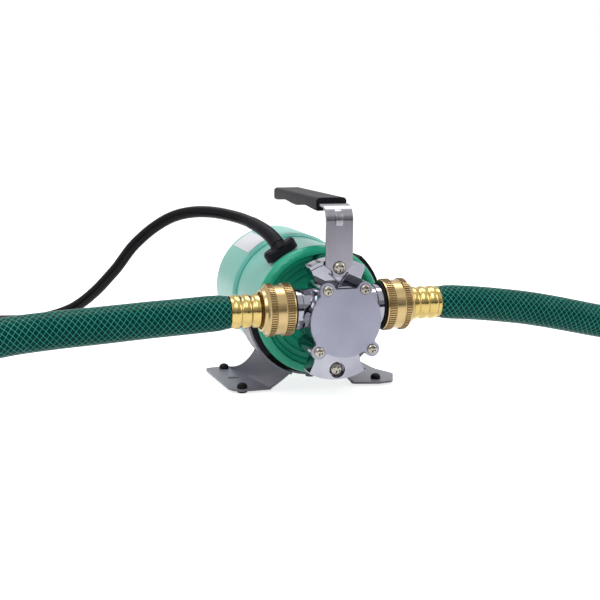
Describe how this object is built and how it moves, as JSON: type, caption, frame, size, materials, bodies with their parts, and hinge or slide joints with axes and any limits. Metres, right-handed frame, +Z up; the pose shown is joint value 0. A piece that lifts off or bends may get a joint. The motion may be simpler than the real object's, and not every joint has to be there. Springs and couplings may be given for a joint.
{
  "type": "water transfer pump",
  "caption": "Electric water transfer pump with a green motor, bright cast pump head, carrying handle, steel base and a hose coupled to each port.",
  "frame": {"origin": "on the floor, under the middle of the pump without its cord and hoses", "axes": "+Z up, +Y along the motor's axis towards its back, +X towards the discharge port"},
  "size_m": [0.9399, 0.2377, 0.1333],
  "materials": {
    "bracket_paint": "satin grey paint",
    "black_rubber": "matt",
    "pale_green_paint": "satin",
    "green_plastic": "satin",
    "label_white": "satin film",
    "bright_steel": "bright",
    "lamination_steel": "dull",
    "copper_wire": "varnished",
    "brass": "satin",
    "carbon": "matt",
    "black_plastic": "satin",
    "chrome_cast": "bright cast",
    "cover_chrome": "satin chrome",
    "hose_green": "clear coated",
    "cord_black": "satin"
  },
  "bodies": {
    "pump": {"base_bracket": "bracket_paint", "rubber_feet": "black_rubber", "cushion_strip": "black_rubber", "bracket_screws": "bright_steel", "motor_shell": "pale_green_paint", "front_end_bell": "green_plastic", "rear_cover": "pale_green_paint", "rating_label": "label_white", "tie_bolts": "bright_steel", "stator_core": "lamination_steel", "field_coils": "copper_wire", "brush_plate": "black_plastic", "brush_holders": "brass", "carbon_brushes": "carbon", "front_bearing": "bright_steel", "rear_bearing": "bright_steel", "shaft_seal": "black_rubber", "pump_head": "chrome_cast", "impeller_cam": "brass", "cover_gasket": "black_rubber", "cover_plate": "cover_chrome", "cover_screws": "bright_steel", "lower_screw": "bright_steel", "handle_screw": "bright_steel", "handle_strip": "bright_steel", "handle_grip": "black_plastic", "suction_washer": "black_rubber", "suction_stem": "brass", "suction_ferrule": "brass", "suction_hose_end": "hose_green", "discharge_washer": "black_rubber", "discharge_stem": "brass", "discharge_ferrule": "brass", "discharge_hose_end": "hose_green", "cord_gland": "black_plastic", "power_cord": "cord_black", "power_cord_coil": "cord_black", "power_plug": "cord_black", "plug_pins": "brass", "suction_hose": "hose_green", "suction_hose_coil": "hose_green", "suction_end_fitting": "brass", "discharge_hose": "hose_green", "discharge_hose_coil": "hose_green", "discharge_end_fitting": "brass"},
    "rotor": {"rotor_shaft": "bright_steel", "armature_core": "lamination_steel", "armature_windings": "copper_wire", "commutator": "brass", "cooling_fan": "black_plastic", "impeller": "black_rubber"},
    "suction_coupling": {"suction_nut": "brass"},
    "discharge_coupling": {"discharge_nut": "brass"}
  },
  "joints": [
    {"name": "rotor_spin", "type": "hinge", "parent": "pump", "child": "rotor", "pos_m": [0, 0, 0.0575], "axis": [0, 1, 0], "continuous": true},
    {"name": "suction_nut_turn", "type": "hinge", "parent": "pump", "child": "suction_coupling", "pos_m": [-0.04, -0.0672, 0.06555], "axis": [1, 0, 0], "continuous": true},
    {"name": "discharge_nut_turn", "type": "hinge", "parent": "pump", "child": "discharge_coupling", "pos_m": [0.04, -0.0672, 0.06555], "axis": [1, 0, 0], "continuous": true}
  ]
}
